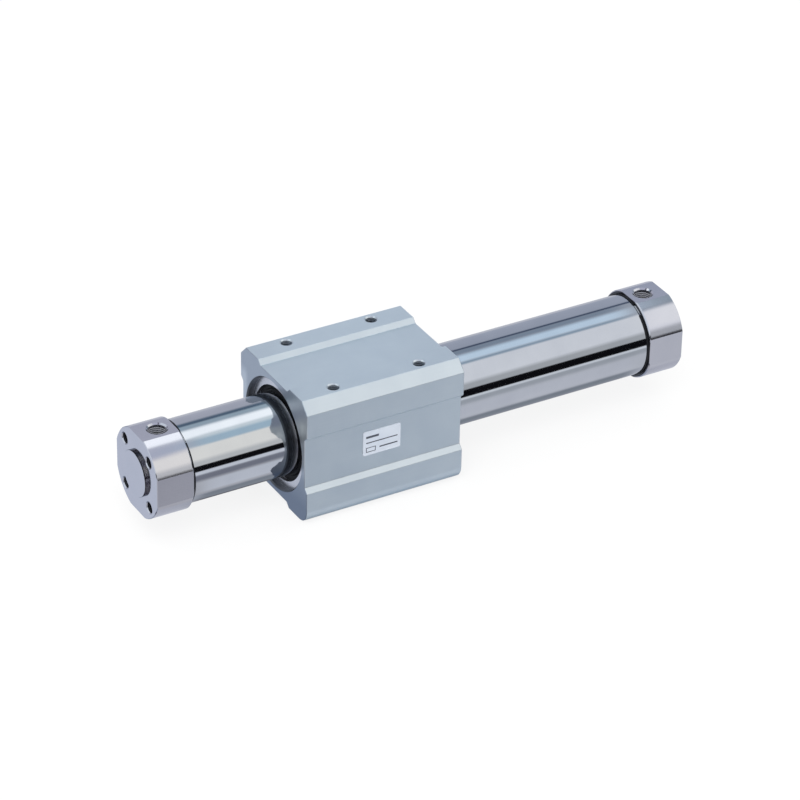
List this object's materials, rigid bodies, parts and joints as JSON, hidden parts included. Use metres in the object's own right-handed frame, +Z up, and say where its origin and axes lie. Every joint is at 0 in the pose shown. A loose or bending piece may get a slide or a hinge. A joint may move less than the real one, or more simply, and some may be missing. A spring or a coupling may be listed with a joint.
{
  "type": "rodless pneumatic cylinder",
  "caption": "Magnetically coupled rodless air cylinder: polished tube between two head covers, carrying a square sliding body that follows an inner piston.",
  "frame": {"origin": "on the tube's axis, midway between the two head covers' ends (the middle of the stroke)", "axes": "+X along the tube to the far cover, -Y to the side with the write-on plate, +Z up through the ports and the slider's mounting face"},
  "size_m": [0.38, 0.086, 0.086],
  "materials": {
    "tube_stainless": "polished stainless tube, faint grinding marks around it",
    "cover_nickel": "satin electroless nickel on turned aluminium",
    "slider_anodised": "matt hard anodised, light blue-grey",
    "holder_aluminium": "turned, clear anodised",
    "black_spring_steel": "phosphate coated spring steel",
    "ring_steel": "nickel plated spring steel",
    "shaft_stainless": "ground",
    "black_rubber": "nitrile rubber",
    "wear_resin": "filled bearing resin",
    "lube_resin": "oil-holding resin",
    "urethane": "cast urethane",
    "magnet": "sintered, coated",
    "yoke_steel": "rolled steel, zinc plated"
  },
  "bodies": {
    "barrel": {"cylinder_tube": "tube_stainless", "head_cover_left": "cover_nickel", "head_cover_right": "cover_nickel", "tube_gasket_left": "black_rubber", "tube_gasket_right": "black_rubber", "cover_snap_ring_left": "black_spring_steel", "cover_snap_ring_right": "black_spring_steel", "attachment_ring_left": "ring_steel", "attachment_ring_right": "ring_steel"},
    "glide_rings": {"slider_wear_ring_left": "wear_resin", "slider_wear_ring_right": "wear_resin"},
    "slider": {"slider_body": "slider_anodised", "slider_end_holder_left": "holder_aluminium", "slider_end_holder_right": "holder_aluminium", "slider_lube_retainer_left": "lube_resin", "slider_lube_retainer_right": "lube_resin", "slider_scraper_left": "black_rubber", "slider_scraper_right": "black_rubber", "hole_snap_ring_left": "ring_steel", "hole_snap_ring_right": "ring_steel", "outer_magnets": "magnet", "outer_yokes": "yoke_steel"},
    "piston": {"piston_shaft": "shaft_stainless", "piston_left": "holder_aluminium", "piston_right": "holder_aluminium", "piston_seal_left": "black_rubber", "piston_seal_right": "black_rubber", "piston_wear_ring_left": "wear_resin", "piston_wear_ring_right": "wear_resin", "piston_bumper_left": "urethane", "piston_bumper_right": "urethane", "piston_nut_left": "ring_steel", "piston_nut_right": "ring_steel", "inner_magnets": "magnet", "inner_yokes": "yoke_steel"}
  },
  "joints": [
    {"name": "slider_travel", "type": "slide", "parent": "barrel", "child": "glide_rings", "axis": [1, 0, 0], "range_m": [-0.0605, 0.1395]},
    {"name": "slider_turn", "type": "hinge", "parent": "glide_rings", "child": "slider", "pos_m": [-0.0395, 0, 0], "axis": [1, 0, 0], "continuous": true},
    {"name": "piston_travel", "type": "slide", "parent": "barrel", "child": "piston", "axis": [1, 0, 0], "range_m": [-0.0605, 0.1395]}
  ],
  "couplings": [
    {"joint": "piston_travel", "follows": "slider_travel", "ratio": 1}
  ]
}
